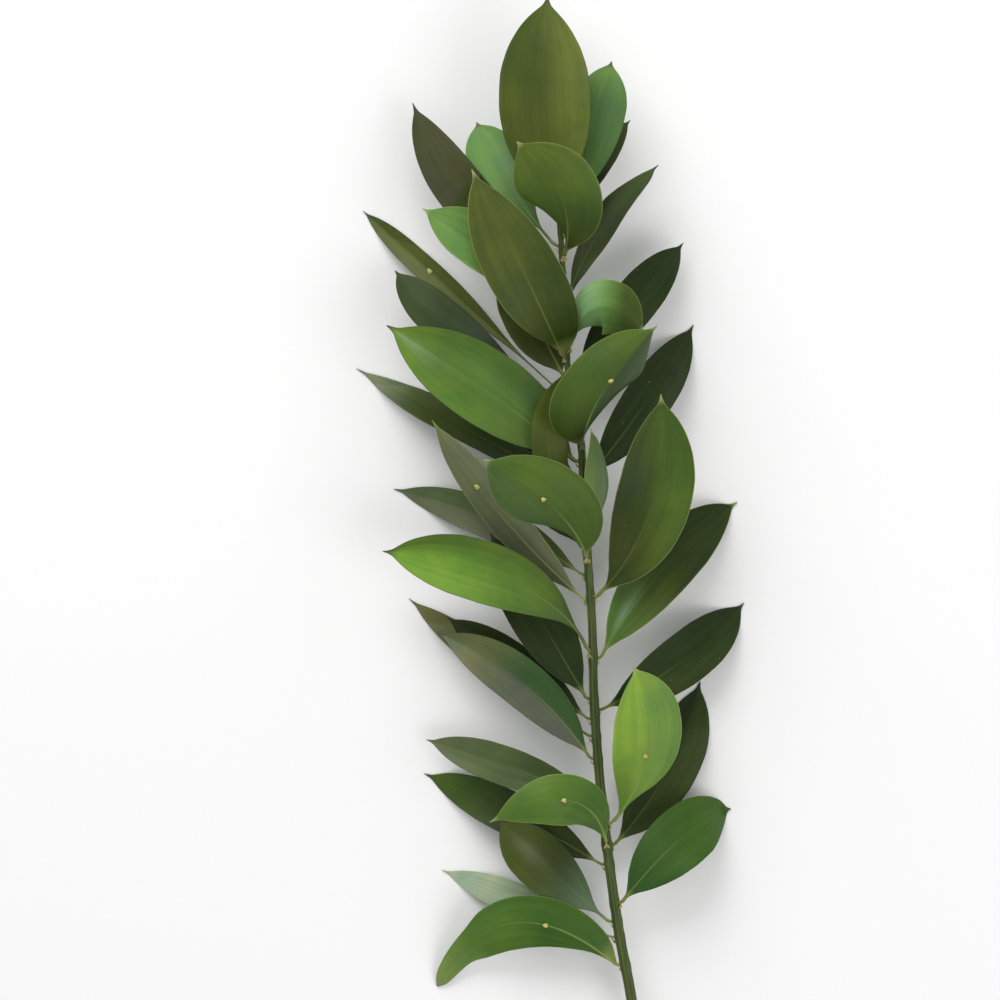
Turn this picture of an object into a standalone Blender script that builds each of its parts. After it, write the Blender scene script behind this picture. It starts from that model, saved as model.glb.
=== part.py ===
"""A cut branch of Israeli ruscus, laid down on a flat surface.

Run it with: blender --background --python part.py

The branch lies along +Y with its cut end at -Y. +Z points up from the surface, which is the
plane z = 0, and the origin is at the middle of the branch's outline on that surface. The
sizes below are millimetres and degrees, and the model is built in metres.

The stem is one tapered tube. Each leaf is a thin blade on a short stalk, seated a hair's
breadth off the stem, arched along its midrib and cupped across it. Where a leaf would reach
below the surface it is pressed flat on it, and those leaves carry the branch. Some leaves
bear a pair of small flower buds on the midrib.
"""
import math
from collections import namedtuple

import bmesh
import bpy
from mathutils import Matrix, Vector
from mathutils.geometry import interpolate_bezier

MM = 0.001
BRANCH_NAME = "israeli_ruscus_branch"

# Stem: what a point of its route holds is right (x), along (y), rise (z) and radius
STEM_ROUTE = [
    (54.0, -320.0, 2.5, 2.5),
    (51.0, -262.0, 4.2, 2.5),
    (44.5, -190.0, 8.6, 2.45),
    (36.0, -130.0, 13.0, 2.4),
    (30.0, -98.0, 16.0, 2.3),
    (22.5, -40.0, 21.0, 2.15),
    (19.0, 5.0, 25.0, 2.0),
    (18.0, 41.0, 28.0, 1.9),
    (14.0, 95.0, 32.0, 1.7),
    (13.0, 120.0, 34.0, 1.6),
    (6.5, 158.0, 37.0, 1.4),
    (4.5, 202.0, 40.0, 1.2),
    (2.7, 227.0, 41.0, 1.0),
]
STEM_STEPS = 5
STEM_BEVEL_RESOLUTION = 3

# Leaves
BLADE_THICKNESS = 0.65
SEAT_GAP = 0.3
COLUMNS = 4
# How the half width of a leaf grows and shrinks from the stalk to the spine at its tip
OUTLINE = [
    (0.00, 0.06),
    (0.035, 0.06),
    (0.08, 0.18),
    (0.16, 0.48),
    (0.26, 0.76),
    (0.37, 0.93),
    (0.50, 1.00),
    (0.63, 0.97),
    (0.75, 0.83),
    (0.85, 0.61),
    (0.92, 0.38),
    (0.965, 0.12),
    (1.00, 0.03),
]

# Flower buds: how far each is to the right of the midrib and along it, and its half width,
# half length and half height
BUDS = [
    (0.35, 0.0, 0.95, 1.8, 1.15),
    (-0.85, -0.9, 0.8, 1.4, 0.95),
]
BUD_SINK = 0.5

# A leaf's node is its place along the stem. Right, along and rise are where its tip is. Arch
# bows the midrib away from the surface and sweep bows it to its own right. Lean turns the
# blade about its midrib, twist adds to that towards the tip, and cup lifts its margins. Lead
# says how far along the bow is sharpest, and belly how far along the blade is widest. Skew
# moves that place on towards the tip at the left margin and back at the right one. Bud is how
# far along the flower buds sit, on the face that looks up, and 0 means that there are none.
Leaf = namedtuple(
    "Leaf",
    "node right along rise width arch sweep lean twist cup tone lead belly skew bud",
    defaults=(0.5, 0.5, 0, 0),
)
LEAVES = [
    Leaf(-116, -52, -127, 1, 25, 12, 26, -6, 0, -16, "bright", belly=0.44, skew=0.09, bud=0.35),
    Leaf(-103, -50, -74, -3, 15, 2, 0, 10, 0, 10, "pale"),
    Leaf(-96, -24, -50, 19, 25, 1, -1, 0, 0, 12, "grey", belly=0.6),
    Leaf(-88, 82, -46, -6, 28, 18, -6, 0, 0, 12, "bright"),
    Leaf(-70, -58, -30, -4, 20, 4, 2, 0, 0, 12, "dark"),
    Leaf(-62, 68, 12, -6, 26, 1, 6, 0, 0, 12, "dark"),
    Leaf(-60, -28, -49, 44, 24, 16, 17, 0, 0, -24, "bright", bud=0.56),
    Leaf(-52, 36, 21, 52, 31, 4, 11, 0, 0, 14, "yellow", belly=0.61, skew=-0.05, bud=0.49),
    Leaf(-40, -57, -14, 8, 18, 6, 1, 0, 0, 12, "pale"),
    Leaf(-22, -52, 35, 22, 22, 6, 7, 0, 0, 16, "grey"),
    Leaf(-12, -65, 50, -6, 15, 2, -1, 20, 0, 12, "dark"),
    Leaf(-4, -48, 42, 10, 18, 2, 1, 0, 0, 12, "dark"),
    Leaf(0, 88, 48, -6, 24, 8, 4, 0, 0, 12, "dark"),
    Leaf(5, -28, 80, 20, 26, 4, 0, 0, 0, 12, "dark"),
    Leaf(23, 85, 94, -3, 27, 10, -6, 0, 0, 14, "dark"),
    Leaf(26, -76, 72, 38, 28, 10, 13.5, 0, 0, 14, "bright", lead=0.3, belly=0.66),
    Leaf(50, -54, 131, 24, 19, 8, -4, 150, 0, 12, "grey", bud=0.66),
    Leaf(51, 48, 142, 56, 34, 6, 11, 0, 0, 14, "olive", belly=0.53, skew=0.02),
    Leaf(61, -72, 100, -5, 17, 0, 5, 0, 0, 12, "dark"),
    Leaf(69, -31, 113, 66, 37, 12, 6, -20, 0, -30, "bright", belly=0.58, skew=0.1, bud=0.6),
    Leaf(73, -20, 135, 6, 26, 0, 0, 0, 0, 12, "dark"),
    Leaf(77, 17, 127, 50, 20, 2, 2, 60, 0, 12, "pale"),
    Leaf(99, -89, 155, -6, 17, 2, 0, 35, 0, 12, "dark"),
    Leaf(104, 65, 175, -4, 22, 4, 2, 0, 0, 12, "dark"),
    Leaf(88, 6, 153, 41, 17, 6.5, -11, 20, 0, 8, "olive"),
    Leaf(112, -74, 173, 44, 36, 5, 2.5, 12, 0, 26, "bright", belly=0.49, skew=0.03),
    Leaf(120, 46, 172, 66, 43, 12, -5, 46, 0, -38, "olive", skew=-0.08, bud=0.58),
    Leaf(140, -71, 199, 16, 22, 6, -6, 25, 0, 12, "dark", belly=0.66),
    Leaf(150, -22, 204, 26, 27, 0, 0, 0, 0, 12, "brown", bud=0.46),
    Leaf(150, 60, 212, 8, 21, 4, 0, 0, 0, 12, "dark"),
    Leaf(140, -86, 227, -5, 13, -1, 0, 30, 0, 12, "grey", belly=0.7, bud=0.68),
    Leaf(159, -36, 242, 54, 33, 8, 0.5, 0, 0, 12, "olive", belly=0.42, skew=0.08),
    Leaf(163, 41, 170, 44, 26, 6, -15, 0, 0, -30, "pale", belly=0.6),
    Leaf(166, -58, 225, 46, 26, 4, 9, 0, 0, 12, "pale", belly=0.58, skew=0.08),
    Leaf(185, 48, 246, 26, 20, 4, -5, -52, 0, 10, "dark"),
    Leaf(188, -33, 243, 34, 27, 2, -13, 0, 0, 12, "brown", skew=0.1),
    Leaf(196, -63, 275, 16, 23, 4, -9, 0, 0, 12, "brown"),
    Leaf(204, -16, 253, 70, 36, 8, 8.5, -22, 0, -20, "olive", belly=0.58, skew=0.07),
    Leaf(208, -34, 266, 18, 24, 2, -3, 0, 0, 12, "pale", belly=0.66),
    Leaf(214, 27, 293, 24, 25, 4, 0, 0, 0, 12, "pale", belly=0.64),
    Leaf(218, 36, 268, 6, 15, 2, -3, 0, 0, 12, "dark"),
    Leaf(227, -2, 321, 38, 41, 4, -3, 0, 0, 10, "olive", belly=0.47),
]

TONES = {
    "bright": (0.110, 0.270, 0.040),
    "yellow": (0.220, 0.370, 0.070),
    "olive": (0.095, 0.150, 0.030),
    "dark": (0.035, 0.075, 0.020),
    "pale": (0.120, 0.260, 0.090),
    "grey": (0.130, 0.170, 0.090),
    "brown": (0.075, 0.095, 0.028),
    "stem": (0.060, 0.110, 0.030),
}
LEAF_ROUGHNESS = 0.42
STEM_ROUGHNESS = 0.55


def clear_scene():
    for item in list(bpy.data.objects):
        bpy.data.objects.remove(item, do_unlink=True)


def new_collection(name):
    collection = bpy.data.collections.new(name)
    bpy.context.scene.collection.children.link(collection)
    return collection


def add_object(name, data, collection, tone, roughness):
    item = bpy.data.objects.new(name, data)
    collection.objects.link(item)
    material = bpy.data.materials.new(name)
    material.use_nodes = True
    shader = material.node_tree.nodes["Principled BSDF"]
    shader.inputs["Base Color"].default_value = (*TONES[tone], 1.0)
    shader.inputs["Roughness"].default_value = roughness
    shader.inputs["Metallic"].default_value = 0.0
    item.data.materials.append(material)
    return item


def smooth_stem():
    """The route's points and radii with STEM_STEPS steps between each pair, on one curve."""
    points = [Vector(p[:3]) for p in STEM_ROUTE]
    radii = [p[3] for p in STEM_ROUTE]
    slopes = []
    for index in range(len(points)):
        before = points[max(index - 1, 0)]
        after = points[min(index + 1, len(points) - 1)]
        slopes.append((after - before).normalized())
    smooth = [(points[0], radii[0])]
    for index in range(len(points) - 1):
        start, end = points[index], points[index + 1]
        reach = (end - start).length / 3
        handles = (start + slopes[index] * reach, end - slopes[index + 1] * reach)
        bends = interpolate_bezier(start, handles[0], handles[1], end, STEM_STEPS + 1)
        for step, point in enumerate(bends[1:], 1):
            mix = step / STEM_STEPS
            smooth.append((point, radii[index] * (1 - mix) + radii[index + 1] * mix))
    return smooth


def stem_at(stem, along):
    """Where the stem's axis passes a given y: its point, its direction and its radius."""
    for (start, start_radius), (end, end_radius) in zip(stem, stem[1:]):
        if along <= end.y:
            break
    mix = (along - start.y) / (end.y - start.y)
    return start.lerp(end, mix), (end - start).normalized(), start_radius * (1 - mix) + end_radius * mix


def build_stem(stem, collection):
    curve = bpy.data.curves.new("stem", "CURVE")
    curve.dimensions = "3D"
    curve.bevel_depth = MM
    curve.bevel_resolution = STEM_BEVEL_RESOLUTION
    curve.use_fill_caps = True
    spline = curve.splines.new("POLY")
    spline.points.add(len(stem) - 1)
    for target, (point, radius) in zip(spline.points, stem):
        target.co = (*(point * MM), 1.0)
        target.radius = radius
    return add_object("stem", curve, collection, "stem", STEM_ROUGHNESS)


def across(direction, lean):
    """The blade's face normal and its side vector where the midrib runs in a direction."""
    up = Vector((0, 0, 1))
    normal = (up - direction * up.dot(direction)).normalized()
    side = direction.cross(normal)
    turn = math.radians(lean)
    face = normal * math.cos(turn) + side * math.sin(turn)
    return face, side * math.cos(turn) - normal * math.sin(turn)


class Midrib:
    """The line a leaf's blade follows, from its seat on the stem to its tip."""

    def __init__(self, leaf, stem):
        self.leaf = leaf
        self.tip = Vector((leaf.right, leaf.along, leaf.rise))
        axis, stem_direction, radius = stem_at(stem, leaf.node)
        self.seat = axis
        start = self.direction(0)
        outward = (start - stem_direction * start.dot(stem_direction)).normalized()
        face, side = across(start, leaf.lean)
        stalk = OUTLINE[0][1] * leaf.width / 2
        reach = stalk * abs(side.dot(outward)) + BLADE_THICKNESS / 2 * abs(face.dot(outward))
        self.seat = axis + outward * (radius + SEAT_GAP + reach)

    def knee(self):
        """The control point of the midrib's curve, twice as far out as the curve itself bows."""
        chord = (self.tip - self.seat).normalized()
        normal, side = across(chord, 0)
        bow = normal * self.leaf.arch + side * self.leaf.sweep
        return self.seat.lerp(self.tip, self.leaf.lead) + bow * 2

    def point(self, part):
        start, end = self.seat.lerp(self.knee(), part), self.knee().lerp(self.tip, part)
        return start.lerp(end, part)

    def direction(self, part):
        knee = self.knee()
        return (knee - self.seat).lerp(self.tip - knee, part).normalized()


def blade_point(midrib, row, half_width, place):
    """A point of the blade, with place from -1 at its left margin to 1 at its right one."""
    leaf = midrib.leaf
    part = row ** (math.log(leaf.belly - leaf.skew * place) / math.log(0.5))
    face, side = across(midrib.direction(part), leaf.lean + leaf.twist * part)
    bend = math.radians(leaf.cup)
    radius = half_width / bend
    offset = side * (radius * math.sin(bend * place)) + face * (radius * (1 - math.cos(bend * place)))
    point = midrib.point(part) + offset
    point.z = max(point.z, BLADE_THICKNESS / 2)
    return point


def add_buds(item, midrib, cutters):
    """Fuse the flower buds to a leaf, with their feet sunk into the face that looks up."""
    leaf = midrib.leaf
    direction = midrib.direction(leaf.bud)
    up = across(direction, leaf.lean + leaf.twist * leaf.bud)[0]
    if up.z < 0:
        up.negate()
    right = direction.cross(up)
    for number, (sideways, forward, *half_sizes) in enumerate(BUDS, 1):
        lift = BLADE_THICKNESS / 2 + half_sizes[2] - BUD_SINK
        centre = midrib.point(leaf.bud) + right * sideways + direction * forward + up * lift
        name = f"{item.name}_bud_{number}"
        sheet = bmesh.new()
        bmesh.ops.create_icosphere(sheet, subdivisions=1, radius=MM)
        axes = Matrix((right * half_sizes[0], direction * half_sizes[1], up * half_sizes[2]))
        sheet.transform(Matrix.Translation(centre * MM) @ axes.transposed().to_4x4())
        mesh = bpy.data.meshes.new(name)
        sheet.to_mesh(mesh)
        sheet.free()
        bud = bpy.data.objects.new(name, mesh)
        cutters.objects.link(bud)
        bud.hide_render = True
        bud.display_type = "WIRE"
        union = item.modifiers.new(name, "BOOLEAN")
        union.operation = "UNION"
        union.object = bud


def build_leaf(name, leaf, stem, collection, cutters):
    midrib = Midrib(leaf, stem)
    sheet = bmesh.new()
    rows = len(OUTLINE) - 1
    bmesh.ops.create_grid(sheet, x_segments=COLUMNS, y_segments=rows, size=1.0)
    for vertex in sheet.verts:
        place = vertex.co.x
        row, fraction = OUTLINE[round((vertex.co.y + 1) / 2 * rows)]
        vertex.co = blade_point(midrib, row, fraction * leaf.width / 2, place) * MM
    bmesh.ops.triangulate(sheet, faces=sheet.faces)
    mesh = bpy.data.meshes.new(name)
    sheet.to_mesh(mesh)
    sheet.free()
    mesh.shade_smooth()
    item = add_object(name, mesh, collection, leaf.tone, LEAF_ROUGHNESS)
    thickness = item.modifiers.new("Thickness", "SOLIDIFY")
    thickness.thickness = BLADE_THICKNESS * MM
    thickness.offset = 0.0
    thickness.use_even_offset = True
    if leaf.bud:
        add_buds(item, midrib, cutters)


def main():
    clear_scene()
    collection = new_collection(BRANCH_NAME)
    cutters = new_collection("bud_shapes")
    stem = smooth_stem()
    build_stem(stem, collection)
    for number, leaf in enumerate(LEAVES, 1):
        build_leaf(f"leaf_{number:02d}", leaf, stem, collection, cutters)


main()
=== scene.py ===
"""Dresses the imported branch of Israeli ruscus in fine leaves, a ridged stem, buds and scales.

Run it as a script in Blender 4.5. The branch lies along +Y with its tip at +Y, and the camera
looks straight down on it. Lengths in the tables are millimetres and angles are degrees.
"""
import math
import random
from collections import namedtuple

import bmesh
import bpy
import numpy as np
from bpy.props import FloatProperty, FloatVectorProperty, IntProperty, PointerProperty
from mathutils import Matrix, Vector
from mathutils.geometry import interpolate_bezier


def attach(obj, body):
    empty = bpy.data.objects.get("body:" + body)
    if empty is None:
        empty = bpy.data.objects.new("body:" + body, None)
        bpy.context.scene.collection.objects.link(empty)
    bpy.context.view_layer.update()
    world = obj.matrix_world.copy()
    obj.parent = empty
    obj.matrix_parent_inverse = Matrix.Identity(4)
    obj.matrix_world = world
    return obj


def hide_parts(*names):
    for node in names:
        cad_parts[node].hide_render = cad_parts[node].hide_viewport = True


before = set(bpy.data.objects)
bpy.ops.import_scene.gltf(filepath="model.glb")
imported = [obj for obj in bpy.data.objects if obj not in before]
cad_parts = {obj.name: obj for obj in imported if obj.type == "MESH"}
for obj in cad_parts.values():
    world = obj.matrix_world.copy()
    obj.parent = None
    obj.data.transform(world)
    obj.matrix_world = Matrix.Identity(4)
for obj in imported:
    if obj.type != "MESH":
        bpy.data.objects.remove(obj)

bl_info = {
    "name": "Ruscus branch dresser",
    "version": (1, 0, 0),
    "blender": (4, 5, 0),
    "location": "View3D > Sidebar > Ruscus",
    "description": "Puts fine leaves, bark, buds and scales on a packed branch of Israeli ruscus",
    "category": "Object",
}

MM = 0.001

# Stem: what a point of its route holds is right (x), along (y), rise (z) and radius
STEM_ROUTE = [
    (54.0, -320.0, 2.5, 2.5), (51.0, -262.0, 4.2, 2.5), (44.5, -190.0, 8.6, 2.45),
    (36.0, -130.0, 13.0, 2.4), (30.0, -98.0, 16.0, 2.3), (22.5, -40.0, 21.0, 2.15),
    (19.0, 5.0, 25.0, 2.0), (18.0, 41.0, 28.0, 1.9), (14.0, 95.0, 32.0, 1.7),
    (13.0, 120.0, 34.0, 1.6), (6.5, 158.0, 37.0, 1.4), (4.5, 202.0, 40.0, 1.2),
    (2.7, 227.0, 41.0, 1.0),
]
STEM_STEPS = 5
STEM_SIDES = 42
STEM_CUTS = 17
SECOND_RIDGES = 0.5
LOWEST_BARK = 0.02
LEVEL = 1e-4

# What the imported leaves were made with
BLADE_THICKNESS = 0.65
SEAT_GAP = 0.3
SEAT_HALF_WIDTH = 0.06

# How the half width of a leaf grows and shrinks from its stalk to the foot of its spine
OUTLINE = [
    (0.000, 0.050), (0.040, 0.050), (0.090, 0.190), (0.160, 0.480), (0.260, 0.760),
    (0.370, 0.930), (0.500, 1.000), (0.630, 0.970), (0.740, 0.840), (0.830, 0.630),
    (0.890, 0.420), (0.930, 0.230), (0.955, 0.105), (0.978, 0.045), (1.000, 0.012),
]
# The end of that outline on a leaf whose tip is a round tongue without a spine
BLUNT_END = [
    (0.830, 0.540), (0.890, 0.440), (0.930, 0.375), (0.955, 0.320), (0.978, 0.235), (1.000, 0.030),
]
BLUNT_LEAVES = (1,)

# The grid of a blade: rib columns in millimetres from the midrib, closer where the half width
# is under their span, and blade columns as shares of what is left up to the margin
ROWS = 84
EVEN_ROWS = 0.45
RIB_COLUMNS = (0.2, 0.42, 0.75, 1.3)
RIB_SPAN = 4.0
BLADE_COLUMNS = (0.14, 0.29, 0.44, 0.58, 0.71, 0.82, 0.91, 0.97, 1.0)
COLUMNS = 2 * (len(RIB_COLUMNS) + len(BLADE_COLUMNS))
SMOOTH_ANGLE = math.radians(50)

# The stalk: how deep it enters the stem, up to where it is straight and up to where it is twisted
STALK_ROOT = 1.0
STALK_PART = 0.015
TWISTED_PART = 0.12

# Across the blade: how much of its bend is a crease at the midrib, and how its margins wave
CREASE = 0.45
WAVE_START = (0.1, 0.4)
WAVE_SHIFT = 0.4
FULL_WAVE_HALF_WIDTH = 6

# Its thickness: the midrib's ridge gets lower on its way, and the margin is the thinnest part
RIDGE_HALF_WIDTH = 0.6
RIDGE_HEIGHT = 0.7
RIDGE_LOSS = 0.6
RIDGE_FADE = (0.2, 0.85)
THIN_MARGIN = 0.3
THICK_STALK = (0.04, 0.12)

# The buds of a cluster: how far each sits to the right and ahead of the cluster's foot, how far
# it turns to the right, and its size. Wander is added to the turn by chance
BUD_CLUSTER = [(0.0, 0.2, 8, 1.0), (-0.6, -0.5, -20, 0.7), (0.6, -0.6, 24, 0.65)]
BUD_WANDER = 12
BUD_RISE = 1.1
BUD_WIDTH = 0.68
BUD_STAND = 0.45
BUD_FOOT = 0.3
BUD_DRAW = 0.3
BUD_LOBE = 0.07
BUD_BEAK = 0.12

# A dry scale: its unit form, and its width, length and height below a leaf and below buds
SCALE_TAPER = 1.6
SCALE_HOLLOW = 0.35
SCALE_CURL = 0.12
SCALE_THICKNESS = 0.04
STEM_SCALE_SHAPE = (0.6, 1.0, 0.5)
BUD_SCALE_SHAPE = (0.5, 1.0, 0.6)
BUD_SCALE_SIZE = 0.8
BUD_SCALE_BACK = 1.6
BUD_SCALE_TILT = 0.3
STEM_SCALE_SIZES = (0.75, 1.25)
STEM_SCALE_LEANS = (0.3, 0.7)
STEM_SCALE_BACK = 2.4
STEM_SCALE_DEPTH = 0.1

# A leaf's node is its place along the stem. Right, along and rise are where its tip is. Arch
# bows the midrib away from the surface and sweep bows it to its own right. Lean turns the
# blade about its midrib and cup lifts its margins. Lead says how far along the bow is
# sharpest, and belly how far along the blade is widest. Skew moves that place on towards the
# tip at the left margin and back at the right one. Bud is how far along the flower buds sit,
# on the face that looks up, and 0 means that there are none
Leaf = namedtuple(
    "Leaf",
    "node right along rise width arch sweep lean cup lead belly skew bud",
    defaults=(0.5, 0.5, 0, 0),
)
LEAVES = [
    Leaf(-116, -52, -127, 1, 25, 12, 26, -6, -16, belly=0.44, skew=0.09, bud=0.35),
    Leaf(-103, -50, -74, -3, 15, 2, 0, 10, 10),
    Leaf(-96, -24, -50, 19, 25, 1, -1, 0, 12, belly=0.6),
    Leaf(-88, 82, -46, -6, 28, 18, -6, 0, 12),
    Leaf(-70, -58, -30, -4, 20, 4, 2, 0, 12),
    Leaf(-62, 68, 12, -6, 26, 1, 6, 0, 12),
    Leaf(-60, -28, -49, 44, 24, 16, 17, 0, -24, bud=0.56),
    Leaf(-52, 36, 21, 52, 31, 4, 11, 0, 14, belly=0.61, skew=-0.05, bud=0.49),
    Leaf(-40, -57, -14, 8, 18, 6, 1, 0, 12),
    Leaf(-22, -52, 35, 22, 22, 6, 7, 0, 16),
    Leaf(-12, -65, 50, -6, 15, 2, -1, 20, 12),
    Leaf(-4, -48, 42, 10, 18, 2, 1, 0, 12),
    Leaf(0, 88, 48, -6, 24, 8, 4, 0, 12),
    Leaf(5, -28, 80, 20, 26, 4, 0, 0, 12),
    Leaf(23, 85, 94, -3, 27, 10, -6, 0, 14),
    Leaf(26, -76, 72, 38, 28, 10, 13.5, 0, 14, lead=0.3, belly=0.66),
    Leaf(50, -54, 131, 24, 19, 8, -4, 150, 12, bud=0.66),
    Leaf(51, 48, 142, 56, 34, 6, 11, 0, 14, belly=0.53, skew=0.02),
    Leaf(61, -72, 100, -5, 17, 0, 5, 0, 12),
    Leaf(69, -31, 113, 66, 37, 12, 6, -20, -30, belly=0.58, skew=0.1, bud=0.6),
    Leaf(73, -20, 135, 6, 26, 0, 0, 0, 12),
    Leaf(77, 17, 127, 50, 20, 2, 2, 60, 12),
    Leaf(99, -89, 155, -6, 17, 2, 0, 35, 12),
    Leaf(104, 65, 175, -4, 22, 4, 2, 0, 12),
    Leaf(88, 6, 153, 41, 17, 6.5, -11, 20, 8),
    Leaf(112, -74, 173, 44, 36, 5, 2.5, 12, 26, belly=0.49, skew=0.03),
    Leaf(120, 46, 172, 66, 43, 12, -5, 46, -38, skew=-0.08, bud=0.58),
    Leaf(140, -71, 199, 16, 22, 6, -6, 25, 12, belly=0.66),
    Leaf(150, -22, 204, 26, 27, 0, 0, 0, 12, bud=0.46),
    Leaf(150, 60, 212, 8, 21, 4, 0, 0, 12),
    Leaf(140, -86, 227, -5, 13, -1, 0, 30, 12, belly=0.7, bud=0.68),
    Leaf(159, -36, 242, 54, 33, 8, 0.5, 0, 12, belly=0.42, skew=0.08),
    Leaf(163, 41, 170, 44, 26, 6, -15, 0, -30, belly=0.6),
    Leaf(166, -58, 225, 46, 26, 4, 9, 0, 12, belly=0.58, skew=0.08),
    Leaf(185, 48, 246, 26, 20, 4, -5, -52, 10),
    Leaf(188, -33, 243, 34, 27, 2, -13, 0, 12, skew=0.1),
    Leaf(196, -63, 275, 16, 23, 4, -9, 0, 12),
    Leaf(204, -16, 253, 70, 36, 8, 8.5, -22, -20, belly=0.58, skew=0.07),
    Leaf(208, -34, 266, 18, 24, 2, -3, 0, 12, belly=0.66),
    Leaf(214, 27, 293, 24, 25, 4, 0, 0, 12, belly=0.64),
    Leaf(218, 36, 268, 6, 15, 2, -3, 0, 12),
    Leaf(227, -2, 321, 38, 41, 4, -3, 0, 10, belly=0.47),
]

# The tone of each leaf and that of its margin, and then the washes over it: a second tone, the
# way that the wash lies, and its strength. Instead of a way's name there may be a spot: its
# place across the blade from -1 to 1, how far along the blade it is, and its reach. Many washes
# are painted light and shade: darker washes at a leaf's base and on its far side are painted
# shade where other leaves cover it, lighter ones on a side turned to the light are painted
# light, and most spots are painted highlights
LOOKS = {
    1: ("grass", "pale", ("leaf", "left", 0.7), ("celery", "end", 0.65)),
    2: ("frost", "cream"),
    # Leaf 3: painted sheen over its base
    3: ("deep", "purple", ("olive", "left", 0.75), ("ash", (0, 0.72, 0.25), 0.6), ("grey_sheen", "base", 1.0)),
    4: ("grass", "olive", ("pine", "base", 0.6)),
    5: ("deep", "purple", ("fern", "tip", 0.7)),
    6: ("deep", "purple", ("moss", "starboard", 0.5)),
    7: ("leaf", "cream", ("grass", "right", 0.5), ("fern", "left", 0.5)),
    # Leaf 8: painted shade at its base
    8: (
        "lime", "cream",
        ("mint", "right", 0.7), ("leaf", "base", 0.85), ("mint", (-0.1, 0.5, 0.35), 0.5),
        ("mint", "starboard", 0.5),
    ),
    9: ("slate", "olive", ("moss", "starboard", 0.4), ("ash", "tip", 0.4)),
    10: ("stone", "purple", ("frost", "end", 0.5), ("pine", "starboard", 0.95), ("taupe", "outer", 0.7)),
    11: ("deep", "purple", ("taupe", "tip", 0.9)),
    12: ("deep", "purple"),
    13: ("deep", "olive", ("moss", "starboard", 0.25)),
    14: ("deep", "purple"),
    # Leaf 15: painted shade at its base and a painted highlight near its stalk
    15: (
        "deep", "cream",
        ("moss", "starboard", 0.3), ("leaf", "base", 0.75), ("olive", (0.5, 0.36, 0.32), 0.7),
        ("frost", (-0.2, 0.22, 0.2), 0.35),
    ),
    # Leaf 16: painted light on its left half, painted shade on its far right side and at its base
    16: (
        "leaf", "purple",
        ("bright", "left", 0.85), ("fern", "far starboard", 0.9), ("moss", "base", 0.9),
    ),
    # Leaf 17: its near-black tone is painted shade, and the pale strip at its left margin painted sheen
    17: ("shade", "cream", ("taupe", "outer", 0.9), ("frost", "far port", 0.25)),
    18: ("deep", "cream", ("fern", "right", 0.95), ("olive", "down", 0.35), ("moss", "up", 0.45)),
    19: ("slate", "purple", ("ash", "port", 0.8), ("moss", "base", 0.5)),
    # Leaf 20: painted sheen on its left half
    20: ("fern", "cream", ("blue_sheen", "port", 0.6), ("moss", "right", 0.3)),
    21: ("deep", "purple"),
    # Leaf 22: a painted highlight near its right margin
    22: ("mint", "cream", ("fern", "up", 0.95), ("frost", (0.7, 0.4, 0.4), 0.45)),
    # Leaf 23: painted sheen towards its end
    23: ("moss", "purple", ("ash", "end", 1.0), ("frost", "end", 0.35)),
    24: ("deep", "purple"),
    25: ("olive", "olive"),
    # Leaf 26: painted light on its left half and its end, painted sheen at its base and near its tip
    26: (
        "fern", "purple",
        ("leaf", "far port", 1.0), ("blue_sheen", "base", 0.7), ("apple", (0.2, 0.5, 0.4), 0.3),
        ("bright", "end", 0.3), ("frost", (-0.2, 0.9, 0.25), 0.3),
    ),
    # Leaf 27: painted shade on its right half and at its base
    27: ("fern", "cream", ("moss", "base", 0.7), ("grass", "starboard", 0.6), ("deep", "starboard", 0.65)),
    # Leaf 28: painted sheen on its left side
    28: ("deep", "purple", ("slate", "left", 0.35)),
    29: ("olive", "purple", ("umber", "down", 0.4)),
    30: ("deep", "purple"),
    31: ("khaki", "purple", ("taupe", "port", 0.7), ("umber", "starboard", 0.5)),
    32: ("olive", "cream", ("moss", "right", 0.9), ("moss", "down", 0.6)),
    33: ("apple", "cream", ("frost", "left", 0.3), ("moss", "right", 0.95), ("moss", "down", 0.3)),
    34: ("mint", "cream", ("apple", "left", 0.5)),
    35: ("deep", "purple", ("moss", "base", 0.9), ("moss", "tip", 0.8)),
    36: ("moss", "purple", ("umber", "up", 0.35)),
    37: ("bark", "purple"),
    38: ("fern", "cream", ("khaki", "up", 0.5), ("moss", "down", 0.95)),
    # Leaves 39 and 40: pale spots of painted highlight
    39: ("jade", "purple", ("apple", "left", 0.9), ("pine", "base", 0.6), ("frost", (0.4, 0.6, 0.3), 0.2)),
    40: ("jade", "purple", ("mint", "end", 0.9), ("pine", "base", 0.4), ("frost", (-0.5, 0.5, 0.3), 0.3)),
    41: ("deep", "purple", ("moss", "up", 0.6)),
    42: ("bronze", "purple", ("khaki", "right", 0.9), ("khaki", "base", 0.5), ("khaki", "end", 0.6)),
}
# How much less a spot reaches along the blade than across it
SPOT_SHORTENING = 1.8

# How clearly the midrib shows: not at all on a bare one, and else by its buds and the main tone
BARE_MIDRIBS = (42,)
DARK_TONES = ("deep", "shade", "bark")
BUD_RIB = 0.55
DARK_RIB = 0.16
PLAIN_RIB = 0.3

# Ways for a wash to lie: what it is measured by, and where it starts and is full. Along is from
# 0 at the stalk to 1 at the tip, and place from -1 at the left margin, seen from the stalk, to 1
# at the right one. X and y are parts of the leaf's width and height as seen from above
WAYS = {
    "tip": ("along", 0.35, 0.95),
    "outer": ("along", 0.45, 0.85),
    "end": ("along", 0.7, 0.98),
    "base": ("along", 0.6, 0.1),
    "port": ("place", 0.15, -0.2),
    "starboard": ("place", -0.15, 0.2),
    "far port": ("place", 0.3, -0.8),
    "far starboard": ("place", -0.1, 0.8),
    # Washes by x and y mostly lay painted light and shade that falls across a leaf from one side
    "left": ("x", 0.65, 0.2),
    "right": ("x", 0.35, 0.8),
    "up": ("y", 0.35, 0.8),
    "down": ("y", 0.65, 0.2),
}
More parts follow.
